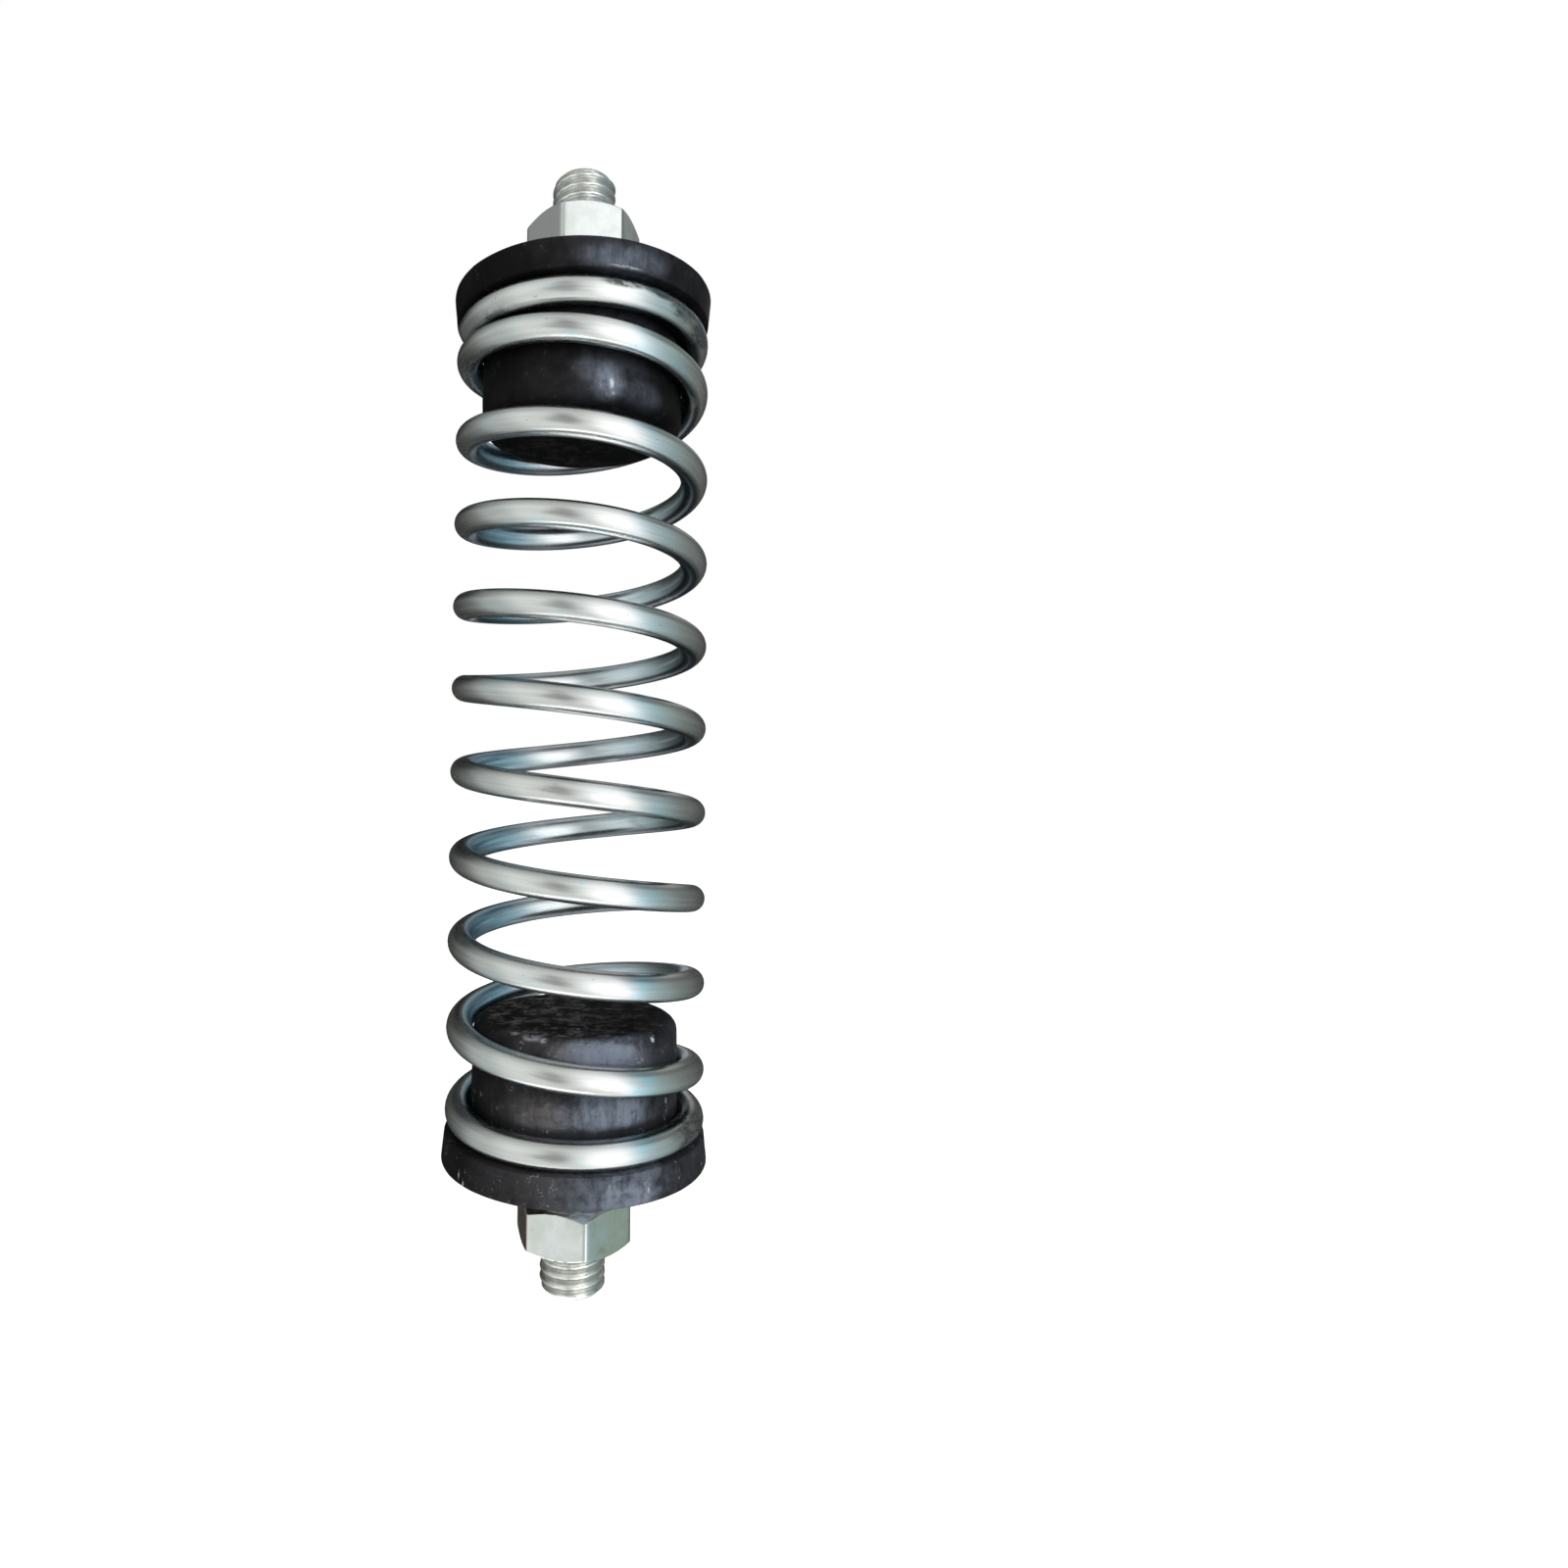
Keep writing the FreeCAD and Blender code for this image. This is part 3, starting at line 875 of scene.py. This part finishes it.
def nut_mesh(name, material, gap, turn):
    angles = hex_angles(turn)
    low, high = -gap - NUT_HEIGHT, -gap
    bore, mouth, mouth_depth = STUD_R + 0.02, STUD_R + 0.75, 0.75
    mouth_flat, land_flat = mouth + 0.3, NUT_LAND_R - 0.25
    cone_slope, cone_inset, cone_round = math.tan(math.radians(30)), 0.03, 0.16
    # Depths under each face, closer together where the cone cuts the corners.
    depths = [0.0, 0.06, 0.14, 0.24, 0.36, 0.5, 0.65, 0.8, 0.95, 1.1, 1.3, 1.6, 2.4]
    heights = [low + d for d in depths] + [(low + high) / 2] + [high - d for d in reversed(depths)]
    face = ((bore, mouth_depth), (mouth, 0.0), (mouth_flat, 0.0), (land_flat, 0.0))
    rings = [circle(radius, low + depth, angles) for radius, depth in face]
    for z in heights:
        cone = NUT_LAND_R - cone_inset + min(z - low, high - z) / cone_slope
        radii = [soft_min(hex_radius(a - turn), cone, cone_round) for a in angles]
        rings.append([on_circle(radius, a, z) for radius, a in zip(radii, angles)])
    rings += [circle(radius, high - depth, angles) for radius, depth in reversed(face)]
    points, faces = skinned(rings, loop=True)
    return piece(name, points, faces, material, "zinc_plated_nut", sharp_deg=34)


wire_zinc, nut_zinc, thread_zinc = zinc_wire(), zinc_nut(), zinc_thread()
upper_rubber = black_rubber(
    "upper_black_rubber",
    black=0.0055,
    dust_and_sheen_share=0.12,
    seed=3.0,
    sheen_patches=UPPER_PAINTED_SHEEN,
    nicks=UPPER_NICKS,
)
lower_rubber = black_rubber(
    "lower_black_rubber",
    black=0.0082,
    dust_and_sheen_share=0.75,
    seed=11.0,
    sheen_patches=LOWER_PAINTED_SHEEN,
    nicks=LOWER_NICKS,
)

coil_wire(wire_zinc)
# Each piece, the node that it replaces and whether it belongs at the upper end.
pieces = [
    (seat_mesh("lower_seat", lower_rubber, 4.0, False), "lower_rubber_seat", False),
    (stud_mesh("lower_threaded_stud", thread_zinc), "lower_stud", False),
    (nut_mesh("lower_nut", nut_zinc, LOWER_NUT_GAP, LOWER_NUT_TURN), "lower_hex_nut", False),
    (seat_mesh("upper_seat", upper_rubber, 9.0, True), "upper_rubber_seat", True),
    (stud_mesh("upper_threaded_stud", thread_zinc), "upper_stud", True),
    (nut_mesh("upper_nut", nut_zinc, UPPER_NUT_GAP, -UPPER_NUT_TURN), "upper_hex_nut", True),
]
to_upper_end = Matrix.Translation((0, 0, FACE_TO_FACE * MM)) @ Matrix.Rotation(math.pi, 4, "X")
for made, node, upper in pieces:
    if upper:
        made.data.transform(to_upper_end)
    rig.ride(made, "upper_mount" if upper else "lower_mount")
    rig.replaces(made, node)


# The studio is white where it is seen or reflected, and dimmer where it lights the object.


def seen(nodes):
    """1 for rays that see or reflect a surface and 0 for those that light the object."""
    rays = nodes.add("LightPath").node.outputs
    share = nodes.math("MAXIMUM", rays["Is Camera Ray"], rays["Is Glossy Ray"])
    return nodes.math("MAXIMUM", share, rays["Is Transmission Ray"])


def white_world():
    world = bpy.data.worlds.new("studio")
    bpy.context.scene.world = world
    w = Nodes(world)
    light = w.tree.nodes["Background"]
    w.set(light, {"Color": rgb(0.97, 0.985, 1.0), "Strength": 0.3})
    white = w.add("Background", {"Color": rgb(1, 1, 1), "Strength": 1.0})
    join = w.add("MixShader", {0: seen(w), 1: light.outputs[0], 2: white})
    w.set(w.tree.nodes["World Output"], {"Surface": join})


def white_floor():
    half, under_stud = 6000.0, 0.05
    z = -STUD_REACH - under_stud
    s = Shader("floor_white", Base_Color=rgb(0.8, 0.8, 0.8), Roughness=0.9, Specular_IOR_Level=0.0)
    paint = s.skin.outputs[0]
    glow = s.add("Emission", {"Color": rgb(1, 1, 1), "Strength": 0.86})
    join = s.add("MixShader", {0: seen(s), 1: paint, 2: s.add("AddShader", {0: paint, 1: glow})})
    s.set(s.tree.nodes["Material Output"], {"Surface": join})
    corners = [(x * half, y * half, z) for x, y in ((-1, -1), (1, -1), (1, 1), (-1, 1))]
    floor = meshed("floor", corners, [(0, 1, 2, 3)], s.material)
    floor.visible_glossy = False
    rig.stage(floor)


# Lamps that face the middle of the coil: name, degrees from the camera's side towards +X, degrees
# up, distance, width and height in metres, watts and colour.
LAMPS = (
    ("key_light", 20, 12, 0.9, 0.36, 1.1, 12.0, (1, 1, 1)),
    ("left_fill", -55, 10, 1.2, 0.9, 1.2, 0.8, (1, 1, 1)),
    ("right_fill", 80, 10, 1.2, 0.6, 1.2, 0.7, (0.86, 0.94, 1.0)),
    ("top_light", 20, 78, 1.2, 1.0, 1.0, 1.8, (1, 1, 1)),
)


def softbox(name, azimuth_deg, elevation_deg, distance, width, height, watts, colour):
    lamp = bpy.data.lights.new(name, "AREA")
    lamp.shape = "RECTANGLE"
    lamp.size, lamp.size_y = width, height
    lamp.energy = watts
    lamp.color = colour
    made = bpy.data.objects.new(name, lamp)
    a, e = math.radians(azimuth_deg), math.radians(elevation_deg)
    away = Vector((math.sin(a) * math.cos(e), -math.cos(a) * math.cos(e), math.sin(e)))
    made.location = Vector((0, 0, FACE_TO_FACE / 2 * MM)) + away * distance
    made.rotation_euler = away.to_track_quat("Z", "Y").to_euler()
    made.visible_glossy = False
    bpy.context.scene.collection.objects.link(made)


white_world()
white_floor()
for lamp in LAMPS:
    softbox(*lamp)

# What the metal reflects: upright bands of light and dark, by the way that a surface faces to
# show each one, in degrees to the right of the camera's side.
BANDS = (
    (-90, (0.07, 0.065, 0.06)),
    (-68, (0.11, 0.11, 0.1)),
    (-54, (0.22, 0.23, 0.22)),
    (-46, (0.54, 0.57, 0.56)),
    (-36, (0.62, 0.66, 0.65)),
    (-27, (0.98, 1.02, 1.0)),
    (2, (0.93, 0.96, 0.95)),
    (8, (1.35, 1.38, 1.38)),
    (21, (1.5, 1.55, 1.58)),
    (27, (0.76, 0.86, 0.9)),
    (33, (0.45, 0.6, 0.64)),
    (42, (0.34, 0.44, 0.46)),
    (50, (0.25, 0.28, 0.27)),
    (64, (0.19, 0.19, 0.185)),
    (90, (0.075, 0.072, 0.07)),
)

# How bright they are where the surface faces straight down, at -1, to straight up, at 1.
FALL = (
    (-1, 0.03),
    (-0.97, 0.06),
    (-0.93, 0.5),
    (-0.8, 0.75),
    (-0.5, 0.95),
    (-0.2, 1.0),
    (0.3, 1.0),
    (0.5, 0.78),
    (0.8, 0.4),
    (0.94, 0.22),
    (1, 0.12),
)

# Patches over them: the middle's degrees and steepness, half sizes in the same, and brightness.
PATCHES = (
    (-8, -0.79, 28, 0.19, 4.2),
    (13, -0.15, 10, 0.4, 1.75),
    (-7, 0.05, 6, 0.42, 0.37),
    (-13, -0.04, 4, 0.16, 0.5),
    (60, 0.84, 24, 0.28, 0.6),
    (38, 0.5, 12, 0.13, 0.2),
    (-47, 0.46, 6, 0.12, 0.33),
    (34, 0.93, 20, 0.14, 0.9),
    (-64, 0.9, 20, 0.5, 0.03),
    (-62, -0.95, 20, 0.5, 0.08),
)


def ramp(nodes, value, low, high, rows):
    """A colour by a value from low to high, with a stop for each row."""
    made = nodes.add("ValToRGB", {0: nodes.add("MapRange", {0: value, 1: low, 2: high})})
    first, last = rows[0], rows[-1]
    elements = made.node.color_ramp.elements
    elements[0].color = rgb(*first[1])
    elements[-1].color = rgb(*last[1])
    for at, colour in rows[1:-1]:
        elements.new((at - first[0]) / (last[0] - first[0])).color = rgb(*colour)
    return made


def banded_light():
    """Paper that glows with the bands and patches, laid out by the surface that shows each one:
    it faces halfway between the paper and the camera's side."""
    s = Shader("banded_light")
    s.material.cycles.emission_sampling = "NONE"
    away = s.add("VectorMath", {0: s.place()}, operation="NORMALIZE")
    facing = s.add("VectorMath", {0: away, 1: (0, -1, 0)}, operation="ADD")
    facing = s.split(s.add("VectorMath", {0: facing}, operation="NORMALIZE"))
    turn = s.math("ARCTAN2", facing["X"], s.math("MULTIPLY", facing["Y"], -1.0))
    bands = ramp(s, turn, -math.pi / 2, math.pi / 2, BANDS)
    fall = ramp(s, facing["Z"], -1.0, 1.0, [(steep, (grey, grey, grey)) for steep, grey in FALL])
    colour = s.mix(1.0, bands, fall, "MULTIPLY")
    for turn_at, steep_at, half_turn, half_steep, bright in PATCHES:
        off = s.math("SUBTRACT", turn, math.radians(turn_at))
        off = s.math("DIVIDE", off, math.radians(half_turn))
        high = s.math("SUBTRACT", facing["Z"], steep_at)
        high = s.math("DIVIDE", high, half_steep)
        far = s.length(s.add("CombineXYZ", {0: off, 1: high}))
        colour = s.mix(s.spread(far, 0.4, 1.3, 1.0, 0.0), colour, rgb(bright, bright, bright))
    glow = s.add("Emission", {"Color": colour})
    s.set(s.tree.nodes["Material Output"], {"Surface": glow})
    return s.material


def light_tent():
    """A ball of paper round the set, open at the back to the white. Only reflections show it."""
    size, around, steps, open_deg = 1600.0, 48, 20, 6
    rings = []
    for n in range(steps):
        a = math.radians(open_deg + (180 - open_deg) * n / steps)
        ring = circle(size * math.sin(a), size * math.cos(a), even_angles(around))
        rings.append([(x, y, z) for x, z, y in ring])
    rings.append([(0, -size, 0)])
    points, faces = skinned(rings)
    tent = meshed("light_tent", points, faces, banded_light())
    tent.location = (0, 0, FACE_TO_FACE / 2 * MM)
    tent.visible_camera = False
    tent.visible_diffuse = False
    tent.visible_transmission = False
    tent.visible_shadow = False
    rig.stage(tent)


light_tent()

# The camera, at the place in metres and radians that the photograph's outline gives.
CAMERA_AWAY = 0.17386
CAMERA_HEIGHT = 0.0678
LOOK_UP = 0.03902
LEAN = 0.01132
LENS_PX, MIDDLE_X_PX, MIDDLE_Y_PX, FRAME_PX = 953.02, 589.95, 760.25, 1600
SENSOR_MM = 36.0

lens = bpy.data.cameras.new("camera")
lens.sensor_width = SENSOR_MM
lens.lens = LENS_PX / FRAME_PX * SENSOR_MM
lens.shift_x = (FRAME_PX / 2 - MIDDLE_X_PX) / FRAME_PX
lens.shift_y = (MIDDLE_Y_PX - FRAME_PX / 2) / FRAME_PX
lens.clip_start, lens.clip_end = 0.005, 50.0
camera = bpy.data.objects.new("camera", lens)
forward = Vector((0, math.cos(LOOK_UP), math.sin(LOOK_UP)))
level_right = Vector((1, 0, 0))
level_up = Vector((0, -math.sin(LOOK_UP), math.cos(LOOK_UP)))
right = level_right * math.cos(LEAN) + level_up * math.sin(LEAN)
up = level_up * math.cos(LEAN) - level_right * math.sin(LEAN)
axes = Matrix((right, up, -forward)).transposed().to_4x4()
camera.matrix_world = Matrix.Translation((0, -CAMERA_AWAY, CAMERA_HEIGHT)) @ axes
bpy.context.scene.collection.objects.link(camera)
bpy.context.scene.camera = camera
bpy.context.scene.view_settings.view_transform = "Standard"

visual_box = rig.bounds()
with open("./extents.json", "w") as f:
    json.dump({"cad": [list(c) for c in cad_box], "visual": [list(c) for c in visual_box]}, f)
